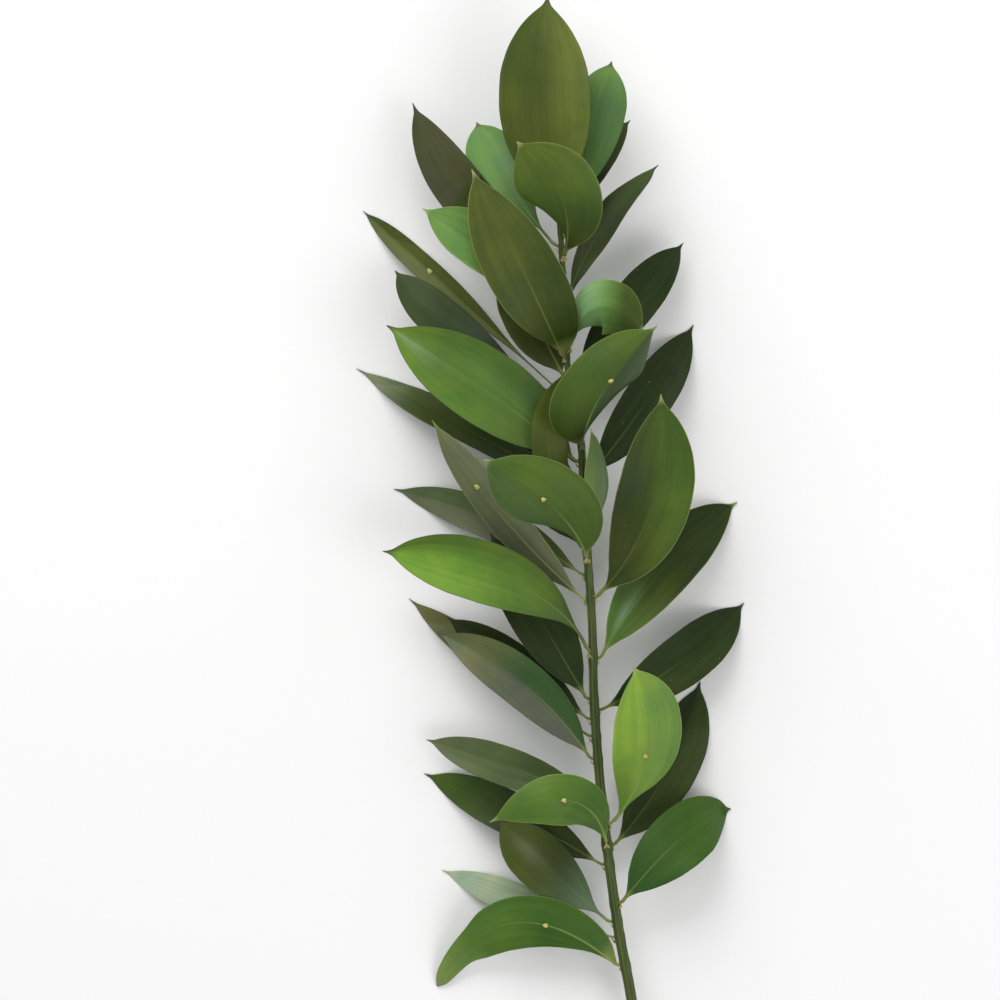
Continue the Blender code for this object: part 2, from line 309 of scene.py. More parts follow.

# Leaf colours as they look on a screen, in eight bits. Besides the leaves' own greens they hold
# painted light and shade: the light greens (lime, bright, apple, mint, jade) are partly painted light
# on leaves turned to the light, deep is partly and shade wholly painted shade on leaves that lie
# under others, and the pale, grey and blue-grey tones are partly painted sheen
TONES = {
    "lime": (134, 168, 58),
    "bright": (118, 160, 54),
    "apple": (108, 152, 74),
    "leaf": (88, 122, 46),
    "fern": (77, 104, 36),
    "grass": (58, 92, 28),
    "moss": (57, 74, 26),
    "olive": (78, 90, 34),
    "khaki": (92, 106, 40),
    "bronze": (66, 80, 24),
    "bark": (54, 59, 12),
    "deep": (34, 50, 14),
    "pine": (50, 82, 38),
    "mint": (100, 136, 70),
    "jade": (68, 106, 46),
    # Painted sheen: the blue-grey reflection of the light on a leaf's face
    "blue_sheen": (78, 102, 60),
    "slate": (82, 100, 62),
    "ash": (104, 112, 86),
    "stone": (88, 93, 76),
    # Painted highlight: the pale sheen of reflected light, laid on leaves as spots and at tips. Leaf 2
    # takes it as its whole tone
    "frost": (160, 180, 152),
    "taupe": (106, 112, 74),
    "umber": (48, 54, 20),
    # Painted sheen: a blue-grey reflection of the light over the base of leaf 3
    "grey_sheen": (88, 112, 86),
    # Painted shade: near black, for a leaf that lies under others
    "shade": (26, 30, 8),
    "celery": (138, 158, 88),
}
# Margin colours. Cream and pale are partly painted light, the bright rim where light shows through a thin
# margin, and partly the margin's own pale colour
EDGES = {
    "purple": (70, 58, 54),
    "olive": (84, 92, 50),
    "cream": (160, 168, 104),
    "pale": (120, 140, 92),
}
STALK_TONE = (138, 148, 76)
RIB_TONE = (142, 164, 88)
UNDERSIDE_TONE = (118, 128, 96)
BLOTCH_TINTS = (0.8, 0.88, 0.9, 1), (1.16, 1.06, 0.92, 1)
STREAK_TINTS = (0.9, 1.1)

# What covers the tone of a leaf in turn: a mark, its strength, and whose colour it has
COVERS = [
    ("veins", 0.06, "rib"),
    ("freckles", 0.5, "rib"),
    ("rib", 1.0, "rib"),
    ("edge", 0.45, "margin"),
    ("stalk", 0.6, "stalk"),
    ("spine", 0.65, "margin"),
]
# How high each mark stands in a leaf's relief, and how deep that relief is on its two faces
RELIEF = {"veins": 0.2, "grain": 0.2, "streaks": 0.6, "swell": 9.0}
FACE_RELIEF = 0.06 * MM
BACK_RELIEF = 0.12 * MM

# The stem's two greens are darkened for the shade that falls on it among the leaves: partly painted shade
STEM_GREENS = (46, 60, 24), (78, 94, 43)
STEM_BROWN = (74, 75, 39)
# Painted highlight: the crests of the stem's ridges are painted lighter
STEM_RIDGE_HIGHLIGHT = (102, 119, 62)

# Finishes of one grain and two tones. Low and high are the grain's values for the two tones
Finish = namedtuple("Finish", "fineness detail low high first second roughness relief")
FINISHES = {
    "cut face": Finish(2600, 2, 0.4, 0.62, (206, 206, 158), (150, 156, 100), 0.75, 0.1 * MM),
    "bud skin": Finish(900, 2, 0.35, 0.65, (224, 208, 122), (196, 190, 96), 0.5, 0.08 * MM),
    "scale paper": Finish(1200, 3, 0.35, 0.65, (186, 178, 116), (142, 128, 78), 0.7, 0.06 * MM),
}

# The lights, in metres
WINDOW_PLACE = (-0.6, 1.6, 1.2)
WINDOW_SIZE = 1.6
FILL_PLACE = (1.1, -0.7, 1.5)
FILL_SIZE = 1.2
LIGHT_AIM = (0, 0.1, 0)


def linear(colour):
    """A colour in eight bits of sRGB as the linear red, green and blue that a shader takes."""
    parts = [part / 255 for part in colour]
    return tuple(part / 12.92 if part < 0.04045 else ((part + 0.055) / 1.055) ** 2.4 for part in parts)


def deselect_all():
    for item in list(bpy.context.selected_objects):
        item.select_set(False)


def activate(item):
    deselect_all()
    item.select_set(True)
    bpy.context.view_layer.objects.active = item


def name_piece(item, name):
    """Names a finished piece and its mesh, and lets it ride with the branch."""
    item.name = name
    item.data.name = name
    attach(item, "root")


def give_materials(item, *materials):
    for material in materials:
        item.data.materials.append(material)


def thicken(item, thickness, group="", back=0):
    """Gives a sheet its thickness, half to each side, or the share that a group's weights say."""
    solid = item.modifiers.new("Thickness", "SOLIDIFY")
    solid.thickness = thickness
    solid.offset = 0
    solid.vertex_group = group
    solid.material_offset = back
    bpy.ops.object.modifier_apply(modifier=solid.name)


def set_points(mesh, points):
    """Moves the points of a mesh to where they belong, in millimetres."""
    mesh.vertices.foreach_set("co", (points * MM).astype(np.float32).ravel())


def write_points(mesh, name, kind, values):
    """Stores one value for each point of a mesh, for a material to read."""
    attribute = mesh.attributes.new(name, kind, "POINT")
    field = "color" if kind == "FLOAT_COLOR" else "vector"
    attribute.data.foreach_set(field, np.ascontiguousarray(values, dtype=np.float32).ravel())


# The branch's build

def smooth_stem():
    """The route's points and radii with STEM_STEPS steps between each pair, on one curve."""
    points = [Vector(p[:3]) for p in STEM_ROUTE]
    radii = [p[3] for p in STEM_ROUTE]
    slopes = []
    for index in range(len(points)):
        before = points[max(index - 1, 0)]
        after = points[min(index + 1, len(points) - 1)]
        slopes.append((after - before).normalized())
    smooth = [(points[0], radii[0])]
    for index in range(len(points) - 1):
        start, end = points[index], points[index + 1]
        reach = (end - start).length / 3
        handles = (start + slopes[index] * reach, end - slopes[index + 1] * reach)
        bends = interpolate_bezier(start, handles[0], handles[1], end, STEM_STEPS + 1)
        for step, point in enumerate(bends[1:], 1):
            mix = step / STEM_STEPS
            smooth.append((point, radii[index] * (1 - mix) + radii[index + 1] * mix))
    return smooth


STEM = smooth_stem()


def stem_at(along):
    """Where the stem's axis passes a given y: its point, its direction and its radius."""
    for (start, start_radius), (end, end_radius) in zip(STEM, STEM[1:]):
        if along <= end.y:
            break
    mix = (along - start.y) / (end.y - start.y)
    radius = start_radius * (1 - mix) + end_radius * mix
    return np.array(start.lerp(end, mix)), np.array((end - start).normalized()), radius


UP = np.array((0.0, 0.0, 1.0))


def unit(vectors):
    return vectors / np.linalg.norm(vectors, axis=-1, keepdims=True)


def across(directions, leans):
    """The blade's face normal and its side vector where the midrib runs in a direction."""
    normals = unit(UP - directions * directions[..., 2:])
    sides = np.cross(directions, normals)
    turns = np.radians(leans)[..., None]
    faces = normals * np.cos(turns) + sides * np.sin(turns)
    return faces, sides * np.cos(turns) - normals * np.sin(turns)


class Midrib:
    """The line a leaf's blade follows, from its seat on the stem to its tip."""

    def __init__(self, leaf):
        self.leaf = leaf
        self.tip = np.array((leaf.right, leaf.along, leaf.rise), dtype=float)
        axis, stem_direction, radius = stem_at(leaf.node)
        self.seat = axis
        start = self.direction(0)
        self.outward = unit(start - stem_direction * np.dot(start, stem_direction))
        face, side = across(start, leaf.lean)
        stalk = SEAT_HALF_WIDTH * leaf.width / 2
        reach = stalk * abs(side @ self.outward) + BLADE_THICKNESS / 2 * abs(face @ self.outward)
        self.seat = axis + self.outward * (radius + SEAT_GAP + reach)
        self.root = self.seat - self.outward * (SEAT_GAP + reach + STALK_ROOT)

    def knee(self):
        """The control point of the midrib's curve, twice as far out as the curve itself bows."""
        chord = self.tip - self.seat
        normal, side = across(unit(chord), 0)
        bow = normal * self.leaf.arch + side * self.leaf.sweep
        return self.seat + chord * self.leaf.lead + bow * 2

    def point(self, parts):
        """Where the midrib is at a part of its length, or at each of many."""
        part = np.asarray(parts, dtype=float)[..., None]
        ends = self.seat * (1 - part) ** 2 + self.tip * part**2
        return ends + self.knee() * 2 * part * (1 - part)

    def direction(self, parts):
        part = np.asarray(parts, dtype=float)[..., None]
        knee = self.knee()
        return unit((knee - self.seat) * (1 - part) + (self.tip - knee) * part)


# Leaves

def step(value, low, high):
    """Rises smoothly from 0 at low to 1 at high, and the other way where low is the larger."""
    part = np.clip((value - low) / (high - low), 0, 1)
    return part * part * (3 - 2 * part)


def outline_at(rows, blunt):
    """How wide a leaf is at each row, as a share of its widest, on a smooth curve."""
    outline = OUTLINE[:-len(BLUNT_END)] + BLUNT_END if blunt else OUTLINE
    knots = np.array([row for row, _ in outline])
    values = np.array([share for _, share in outline])
    secants = np.diff(values) / np.diff(knots)
    slopes = np.zeros(len(knots))
    rising = secants[1:] * secants[:-1]
    slopes[1:-1] = np.where(rising > 0, 2 * rising / (secants[1:] + secants[:-1] + 1e-9), 0)
    slopes[-1] = secants[-1]
    index = np.clip(np.searchsorted(knots, rows, side="right") - 1, 0, len(knots) - 2)
    width = knots[index + 1] - knots[index]
    u = (rows - knots[index]) / width
    start = values[index] * (1 + 2 * u) * (1 - u) ** 2 + slopes[index] * width * u * (1 - u) ** 2
    end = values[index + 1] * u * u * (3 - 2 * u) + slopes[index + 1] * width * u * u * (u - 1)
    return start + end


def blade_rows():
    """The rows of a blade from 0 to 1, closer together at the stalk and the spine."""
    even = np.linspace(0, 1, ROWS + 1)
    return EVEN_ROWS * even + (1 - EVEN_ROWS) * (1 - np.cos(math.pi * even)) / 2


def column_offsets(half_width):
    """How far from the midrib each column of a row is, from the left margin to the right."""
    scale = min(1, half_width / RIB_SPAN)
    inner = [offset * scale for offset in RIB_COLUMNS]
    room = half_width - inner[-1]
    right = inner + [inner[-1] + room * fraction for fraction in BLADE_COLUMNS]
    return [-offset for offset in reversed(right)] + [0.0] + right


class Blade:
    """The points of one leaf, row by row from its stalk, and what its materials read."""

    def __init__(self, leaf, number, settings):
        self.leaf = leaf
        self.number = number
        self.look = LOOKS[number]
        self.settings = settings
        self.midrib = Midrib(leaf)
        rows = blade_rows()
        self.half = (outline_at(rows, number in BLUNT_LEAVES) * leaf.width / 2)[:, None]
        self.offsets = np.array([column_offsets(half) for half in self.half[:, 0]])
        self.place = self.offsets / self.half
        self.along = rows[:, None] ** (np.log(leaf.belly - leaf.skew * self.place) / math.log(0.5))
        self.chance = random.Random(number)
        self.seed = self.chance.uniform(0, 50)
        self.points = self.build()

    def build(self):
        """Every point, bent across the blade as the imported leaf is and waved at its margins."""
        leaf, settings, place = self.leaf, self.settings, self.place
        bend = math.radians(leaf.cup)
        phase = self.chance.uniform(0, math.tau)
        stalk_turn = settings.stalk_twist * np.clip(1 - self.along / TWISTED_PART, 0, 1) ** 2
        directions = self.midrib.direction(self.along)
        faces, sides = across(directions, leaf.lean + stalk_turn)
        centres = self.midrib.point(self.along)
        root = (self.along / STALK_PART)[..., None]
        stalk = self.midrib.root * (1 - root) + self.midrib.point(STALK_PART) * root
        centres = np.where(root < 1, stalk, centres)
        height = self.half / bend * (1 - math.cos(bend))
        rise = height * ((1 - CREASE) * place**2 + CREASE * np.abs(place))
        turn = math.tau * (settings.waves * self.along + WAVE_SHIFT * np.sign(place)) + phase
        wave = settings.wave_height / MM * np.minimum(1, self.half / FULL_WAVE_HALF_WIDTH)
        rise = rise + wave * step(self.along, *WAVE_START) * place**2 * np.sin(turn)
        sideways = self.half / bend * np.sin(bend * place)
        points = centres + sideways[..., None] * sides + rise[..., None] * faces
        points[..., 2] = np.maximum(points[..., 2], settings.rib_thickness / MM / 2)
        return points

    def weights(self):
        """How thick the blade is at each point, as a share of its stalk's thickness."""
        settings = self.settings
        thick = settings.rib_thickness
        thin = settings.blade_thickness / thick
        edge = settings.edge_thickness / thick
        offset = np.abs(self.offsets)
        ridge = np.exp(-((offset / RIDGE_HALF_WIDTH) ** 2))
        ridge = ridge * (RIDGE_HEIGHT - RIDGE_LOSS * step(self.along, *RIDGE_FADE))
        weight = thin + (1 - thin) * ridge
        weight = np.where(self.half - offset < THIN_MARGIN, edge, weight)
        return np.maximum(weight, 1 - step(self.along, *THICK_STALK))

    def rib_strength(self):
        """How clearly the midrib shows: most where it bears buds, and little on a dark leaf."""
        if self.number in BARE_MIDRIBS:
            return 0.0
        if self.leaf.bud:
            return BUD_RIB
        return DARK_RIB if self.look[0] in DARK_TONES else PLAIN_RIB

    def wash(self, way):
        """How strongly a wash lies on each point, from 0 to 1."""
        if way not in WAYS:
            place, along, reach = way
            aside = (self.place - place) / reach
            ahead = (self.along - along) / reach * SPOT_SHORTENING
            return np.exp(-(aside**2 + ahead**2))
        measure, start, full = WAYS[way]
        if measure == "along":
            return step(self.along, start, full)
        if measure == "place":
            return step(self.place, start, full)
        value = self.points[..., "xy".index(measure)]
        return step((value - value.min()) / (value.max() - value.min()), start, full)

    def one_colour(self, colour):
        """The same red, green, blue and 1 for each point."""
        shade = np.ones((*self.along.shape, 4))
        shade[..., :3] = colour
        return shade

    def colours(self, tones):
        """The leaf's tone with its washes over it, for each point, painted light and shade among them."""
        main, _, *washes = self.look
        shade = self.one_colour(tones[main])
        for tone, way, strength in washes:
            amount = (self.wash(way) * strength)[..., None]
            shade[..., :3] = shade[..., :3] * (1 - amount) + np.array(tones[tone]) * amount
        return shade


def add_blade(blade, tones, materials):
    """One leaf: a grid set on the blade's points, given its thickness and smoothed."""
    bpy.ops.mesh.primitive_grid_add(x_subdivisions=COLUMNS, y_subdivisions=ROWS, size=2)
    item = bpy.context.object
    mesh = item.data
    set_points(mesh, blade.points)
    seed = np.full(blade.along.shape, blade.seed)
    edge = blade.half - np.abs(blade.offsets)
    rib = np.full(blade.along.shape, blade.rib_strength())
    write_points(mesh, "blade", "FLOAT_VECTOR", np.stack((blade.place, blade.along, seed), -1))
    write_points(mesh, "inside", "FLOAT_VECTOR", np.stack((np.abs(blade.offsets), edge, rib), -1))
    write_points(mesh, "tone", "FLOAT_COLOR", blade.colours(tones))
    edge_tone = linear(EDGES[blade.look[1]])
    write_points(mesh, "edge_tone", "FLOAT_COLOR", blade.one_colour(edge_tone))
    group = item.vertex_groups.new(name="thickness")
    for index, weight in enumerate(blade.weights().ravel()):
        group.add([index], float(weight), "REPLACE")
    activate(item)
    give_materials(item, *materials)
    thicken(item, blade.settings.rib_thickness, group.name, back=1)
    item.vertex_groups.clear()
    bpy.ops.object.shade_smooth_by_angle(angle=SMOOTH_ANGLE)
    node = f"leaf_{blade.number:02d}"
    name_piece(item, f"blade_{blade.number:02d}")
    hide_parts(node)


# Stem

def stem_rings(count):
    """Evenly spaced rings along the stem: each one's centre, direction, radius and distance."""
    centres = np.array([tuple(point) for point, _ in STEM])
    radii = np.array([radius for _, radius in STEM])
    steps = np.linalg.norm(np.diff(centres, axis=0), axis=1)
    distances = np.concatenate(([0], np.cumsum(steps)))
    places = np.linspace(0, distances[-1], count)
    rings = np.stack([np.interp(places, distances, centres[:, axis]) for axis in range(3)], axis=1)
    directions = unit(np.gradient(rings, axis=0))
    return rings, directions, np.interp(places, distances, radii), places


def cut_cylinder():
    """A tall cylinder of unit radius whose side is cut into even rings."""
    bpy.ops.mesh.primitive_cylinder_add(vertices=STEM_SIDES, radius=1, depth=2)
    item = bpy.context.object
    activate(item)
    for _ in range(2):
        bpy.ops.object.mode_set(mode="EDIT")
        sheet = bmesh.from_edit_mesh(item.data)
        for face in sheet.faces:
            face.select = False
        for edge in sheet.edges:
            edge.select = abs(edge.verts[0].co.z - edge.verts[1].co.z) > LEVEL
        bmesh.update_edit_mesh(item.data)
        bpy.ops.mesh.subdivide(number_cuts=STEM_CUTS)
        bpy.ops.object.mode_set(mode="OBJECT")
    return item


def bark_radii(settings, radii, along, ridge):
    """The stem's radii with its swellings where leaves grow, and with its ridges."""
    for leaf in LEAVES:
        near = np.exp(-(((along - leaf.node) / settings.node_reach) ** 2))
        radii = radii + settings.node_swell / MM * near
    return radii * (1 + settings.ridge_depth * ridge)


def build_stem(settings):
    """The rings of a cut cylinder, each set round the stem's axis with its ridges."""
    item = cut_cylinder()
    mesh = item.data
    points = np.empty(len(mesh.vertices) * 3, dtype=np.float32)
    mesh.vertices.foreach_get("co", points)
    points = points.reshape(-1, 3).astype(float)
    last = (STEM_CUTS + 1) ** 2
    rings, directions, radii, places = stem_rings(last + 1)
    index = np.rint((points[:, 2] + 1) / 2 * last).astype(int)
    angle = np.arctan2(points[:, 1], points[:, 0])
    second = SECOND_RIDGES * np.cos((2 * settings.ridges + 3) * angle + 1)
    ridge = np.cos(settings.ridges * angle) + second
    radius = bark_radii(settings, radii[index], rings[index, 1], ridge)
    sides = unit(np.cross(directions, UP))
    ups = np.cross(sides, directions)
    outward = np.cos(angle)[:, None] * sides[index] + np.sin(angle)[:, None] * ups[index]
    placed = rings[index] + radius[:, None] * outward
    placed[:, 2] = np.maximum(placed[:, 2], LOWEST_BARK)
    set_points(mesh, placed)
    write_points(mesh, "bark", "FLOAT_VECTOR", np.stack((angle, places[index], ridge), -1))
    bpy.ops.object.mode_set(mode="EDIT")
    bpy.ops.mesh.select_all(action="SELECT")
    bpy.ops.mesh.normals_make_consistent(inside=False)
    bpy.ops.object.mode_set(mode="OBJECT")
    give_materials(item, stem_bark(), grained("cut face"))
    for face in mesh.polygons:
        face.material_index = int(len(face.vertices) > 4)
    bpy.ops.object.shade_smooth_by_angle(angle=SMOOTH_ANGLE)
    name_piece(item, "ridged_stem")
    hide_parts("stem")


# Buds and scales

def copy_of(shape, matrix):
    """A copy of a pattern with its own mesh, set in place."""
    item = bpy.data.objects.new(shape.name, shape.data.copy())
    bpy.context.scene.collection.objects.link(item)
    item.data.transform(matrix)
    return item


def joined(items):
    """One piece made of several."""
    activate(items[0])
    for item in items:
        item.select_set(True)
    bpy.ops.object.join()
    return bpy.context.object


def discard(*items):
    for item in items:
        bpy.data.objects.remove(item, do_unlink=True)


def set_on(point, right, forward, up, size):
    """The matrix that sets a pattern of unit size at a point, in millimetres."""
    axes = Matrix((right * size[0], forward * size[1], up * size[2])).transposed()
    return Matrix.Translation(point * MM) @ (axes * MM).to_4x4()


def bud_pattern():
    """A closed bud of unit size along Y, drawn in towards its tip with a small beak."""
    forward = (-math.pi / 2, 0, 0)
    bpy.ops.mesh.primitive_uv_sphere_add(segments=18, ring_count=12, radius=1, rotation=forward)
    item = bpy.context.object
    item.name = "bud_pattern"
    activate(item)
    bpy.ops.object.transform_apply(location=False, rotation=True, scale=False)
    for vertex in item.data.vertices:
        x, y, z = vertex.co
        draw = 1 - BUD_DRAW * max(0, y) ** 1.5
        lobe = 1 + BUD_LOBE * math.cos(3 * math.atan2(z, x))
        vertex.co = (x * draw * lobe, y + BUD_BEAK * max(0, y) ** 4, z * draw * lobe)
    item.data.shade_smooth()
    item.data.materials.append(grained("bud skin", Subsurface_Weight=0.1))
    return item


def scale_pattern():
    """A pointed papery scale of unit size along Y, hollowed along its middle."""
    bpy.ops.mesh.primitive_grid_add(x_subdivisions=8, y_subdivisions=12, size=2)
    item = bpy.context.object
    item.name = "scale_pattern"
    activate(item)
    for vertex in item.data.vertices:
        place, along = vertex.co.x, (vertex.co.y + 1) / 2
        belly = 0.75 + 0.5 * math.sin(math.pi * min(1, along * SCALE_TAPER))
        half = 0.5 * (1 - along**SCALE_TAPER) * belly
        rise = SCALE_HOLLOW * place**2 * half + SCALE_CURL * along**2
        vertex.co = (place * (half + 0.01), along, rise)
    thicken(item, SCALE_THICKNESS)
    item.data.shade_smooth()
    item.data.materials.append(grained("scale paper"))
    return item


def scaled(shape, length):
    return [part * length for part in shape]


def bud_cluster(settings, leaf, chance, bud, scale):
    """The buds of one cluster, and last the pointed scale at its foot."""
    midrib = Midrib(leaf)
    direction = Vector(midrib.direction(leaf.bud))
    up = Vector(across(np.array(direction), leaf.lean)[0])
    if up.z < 0:
        up.negate()
    right = direction.cross(up)
    foot = Vector(midrib.point(leaf.bud)) + up * BUD_FOOT
    pieces = []
    for sideways, forward, turn, size in BUD_CLUSTER:
        angle = math.radians(turn + chance.uniform(-BUD_WANDER, BUD_WANDER))
        ahead = direction * math.cos(angle) + right * math.sin(angle)
        ahead = (ahead + up * BUD_RISE).normalized()
        out = ahead.cross(up).normalized()
        top = out.cross(ahead)
        half = settings.bud_length / MM / 2 * size
        point = foot + right * sideways + direction * forward + top * half * BUD_STAND
        shape = (half * BUD_WIDTH, half, half * BUD_WIDTH)
        pieces.append(copy_of(bud, set_on(point, out, ahead, top, shape)))
    base = foot - direction * BUD_SCALE_BACK
    tilt = (direction + up * BUD_SCALE_TILT).normalized()
    shape = scaled(BUD_SCALE_SHAPE, settings.scale_length / MM * BUD_SCALE_SIZE)
    pieces.append(copy_of(scale, set_on(base, right, tilt, right.cross(tilt), shape)))
    return pieces


def build_buds(settings):
    """The clusters of flower buds on the midribs."""
    bud, scale = bud_pattern(), scale_pattern()
    for number, leaf in enumerate(LEAVES, 1):
        if leaf.bud:
            chance = random.Random(100 + number)
            cluster = joined(bud_cluster(settings, leaf, chance, bud, scale))
            name_piece(cluster, f"bud_{number:02d}")
    discard(bud, scale)


def build_scales(settings):
    """The dry scale that clasps the stem below each leaf."""
    shape = scale_pattern()
    pieces = []
    for number, leaf in enumerate(LEAVES, 1):
        chance = random.Random(200 + number)
        midrib = Midrib(leaf)
        axis, direction, radius = stem_at(leaf.node)
        axis, direction, outward = Vector(axis), Vector(direction), Vector(midrib.outward)
        length = settings.scale_length / MM * chance.uniform(*STEM_SCALE_SIZES)
        lift = (direction + outward * chance.uniform(*STEM_SCALE_LEANS)).normalized()
        side = lift.cross(outward).normalized()
        face = side.cross(lift)
        foot = axis + outward * (radius - STEM_SCALE_DEPTH) - direction * STEM_SCALE_BACK
        size = scaled(STEM_SCALE_SHAPE, length)
        pieces.append(copy_of(shape, set_on(foot, side, lift, face, size)))
    name_piece(joined(pieces), "stem_scales")
    discard(shape)


# Materials

class Graph:
    """The node tree of one material, with short ways to add nodes and join them."""

    def __init__(self, name):
        self.material = bpy.data.materials.new(name)
        self.material.use_nodes = True
        self.tree = self.material.node_tree
        self.shader = self.tree.nodes["Principled BSDF"]

    def add(self, kind, **settings):
        node = self.tree.nodes.new(kind)
        for name, value in settings.items():
            setattr(node, name, value)
        return node

    def put(self, socket, value):
        """Sets an input to a number or colour, or links it to another node's output."""
        if isinstance(value, bpy.types.NodeSocket):
            self.tree.links.new(value, socket)
        else:
            socket.default_value = value

    def read(self, name, output="Vector"):
        return self.add("ShaderNodeAttribute", attribute_name=name).outputs[output]

    def split(self, vector):
        node = self.add("ShaderNodeSeparateXYZ")
        self.put(node.inputs[0], vector)
        return node.outputs

    def maths(self, operation, first, second=0.0):
        node = self.add("ShaderNodeMath", operation=operation)
        self.put(node.inputs[0], first)
        self.put(node.inputs[1], second)
        return node.outputs[0]

    def total(self, heights):
        """Adds up heights, each with the share of it that counts."""
        result = 0.0
        for height, share in heights:
            result = self.maths("ADD", result, self.maths("MULTIPLY", height, share))
        return result

    def stretch(self, vector, scale):
        node = self.add("ShaderNodeVectorMath", operation="MULTIPLY")
        self.put(node.inputs[0], vector)
        self.put(node.inputs[1], scale)
        return node.outputs[0]

    def noise(self, vector, scale, detail=2.0, roughness=0.5):
        node = self.add("ShaderNodeTexNoise")
        self.put(node.inputs["Vector"], vector)
        self.put(node.inputs["Scale"], scale)
        self.put(node.inputs["Detail"], detail)
        self.put(node.inputs["Roughness"], roughness)
        return node.outputs["Fac"]

    def band(self, value, low, high, start=0.0, end=1.0):
        """Moves smoothly from start to end as a value goes from low to high."""
        node = self.add("ShaderNodeMapRange", interpolation_type="SMOOTHSTEP")
        for name, number in zip(("From Min", "From Max", "To Min", "To Max"), (low, high, start, end)):
            self.put(node.inputs[name], number)
        self.put(node.inputs["Value"], value)
        return node.outputs["Result"]

    def mix(self, amount, first, second, blend="MIX"):
        node = self.add("ShaderNodeMix", data_type="RGBA", blend_type=blend, clamp_factor=True)
        self.put(node.inputs["Factor"], amount)
        self.put(node.inputs[6], first)
        self.put(node.inputs[7], second)
        return node.outputs[2]

    def bump(self, height, distance):
        node = self.add("ShaderNodeBump")
        self.put(node.inputs["Height"], height)
        self.put(node.inputs["Distance"], distance)
        self.put(node.inputs["Strength"], 1.0)
        return node.outputs["Normal"]

    def finish(self, colour, roughness, normal, **sockets):
        self.put(self.shader.inputs["Base Color"], colour)
        self.put(self.shader.inputs["Roughness"], roughness)
        self.put(self.shader.inputs["Normal"], normal)
        for name, value in sockets.items():
            self.put(self.shader.inputs[name.replace("_", " ")], value)
        return self.material


def opaque(colour):
    return (*colour, 1.0)


def screen(colour):
    """A colour in eight bits as a shader takes it."""
    return opaque(linear(colour))


def object_place(graph):
    return graph.add("ShaderNodeTexCoord").outputs["Object"]


def leaf_marks(graph, settings):
    """What both faces of a leaf share: how strong each of its marks is, and its relief's grain."""
    blade = graph.read("blade")
    inside = graph.split(graph.read("inside"))
    place, along, _ = graph.split(blade)
    sway = graph.maths("MULTIPLY", graph.noise(graph.stretch(blade, (2.0, 3.0, 1.0)), 1.0), 0.06)
    lines = graph.maths("PINGPONG", graph.maths("ADD", place, sway), 0.5 / settings.veins)
    veins = graph.band(lines, 0.0, 0.3 / settings.veins, 1.0, 0.0)
    faint = graph.noise(graph.stretch(blade, (3.0, 2.0, 1.0)), 1.3)
    fade = graph.band(along, 0.15, 0.65, 1.0, 0.08)
    rib_width = graph.band(along, 0.08, 0.7, 0.62, 0.26)
    rib = graph.band(graph.maths("DIVIDE", inside[0], rib_width), 0.3, 1.0, 1.0, 0.0)
    return {
        "streaks": graph.noise(graph.stretch(blade, (5.0, 0.9, 1.0)), 1.0, 5.0, 0.62),
        "blotches": graph.noise(object_place(graph), 42.0, 3.0, 0.6),
        "freckles": graph.band(graph.noise(object_place(graph), 420.0, 2.0, 0.5), 0.76, 0.8),
        "grain": graph.noise(object_place(graph), 1400.0, 2.0),
        "swell": graph.noise(object_place(graph), 70.0, 1.0),
        "veins": graph.maths("MULTIPLY", veins, graph.band(faint, 0.42, 0.66)),
        "rib": graph.maths("MULTIPLY", graph.maths("MULTIPLY", rib, fade), inside[2]),
        "edge": graph.band(inside[1], 0.08, 0.42, 1.0, 0.0),
        "spine": graph.band(along, 0.95, 0.985),
        "stalk": graph.band(along, 0.1, 0.035),
    }


def leaf_colour(graph, marks, tone, settings):
    """A tone tinted by its blotches and streaks, and covered by its other marks in turn."""
    blotched = graph.mix(graph.band(marks["blotches"], 0.3, 0.7), *BLOTCH_TINTS)
    shade = graph.mix(1.0, tone, blotched, "MULTIPLY")
    streaked = graph.band(marks["streaks"], 0.3, 0.7, *STREAK_TINTS)
    shade = graph.mix(1.0, shade, streaked, "MULTIPLY")
    colours = {
        "rib": opaque(settings.rib_colour),
        "margin": graph.read("edge_tone", "Color"),
        "stalk": opaque(settings.stalk_colour),
    }
    for mark, strength, owner in COVERS:
        amount = graph.maths("MULTIPLY", marks[mark], strength)
        shade = graph.mix(amount, shade, colours[owner])
    return shade


def leaf_relief(graph, marks, depth):
    """Soft swells, and on them fine grain, faint veins and streaks as high as depth together."""
    return graph.bump(graph.total((marks[mark], share) for mark, share in RELIEF.items()), depth)


def leaf_face(settings):
    graph = Graph("leaf face")
    marks = leaf_marks(graph, settings)
    colour = leaf_colour(graph, marks, graph.read("tone", "Color"), settings)
    gloss = settings.roughness
    roughness = graph.band(marks["blotches"], 0.3, 0.7, gloss - 0.05, gloss + 0.07)
    relief = leaf_relief(graph, marks, FACE_RELIEF)
    return graph.finish(colour, roughness, relief, Specular_IOR_Level=0.19)


def leaf_back(settings):
    graph = Graph("leaf underside")
    marks = leaf_marks(graph, settings)
    tone = graph.mix(0.4, graph.read("tone", "Color"), opaque(settings.underside_colour))
    colour = leaf_colour(graph, marks, tone, settings)
    relief = leaf_relief(graph, marks, BACK_RELIEF)
    return graph.finish(colour, 0.6, relief, Specular_IOR_Level=0.16)


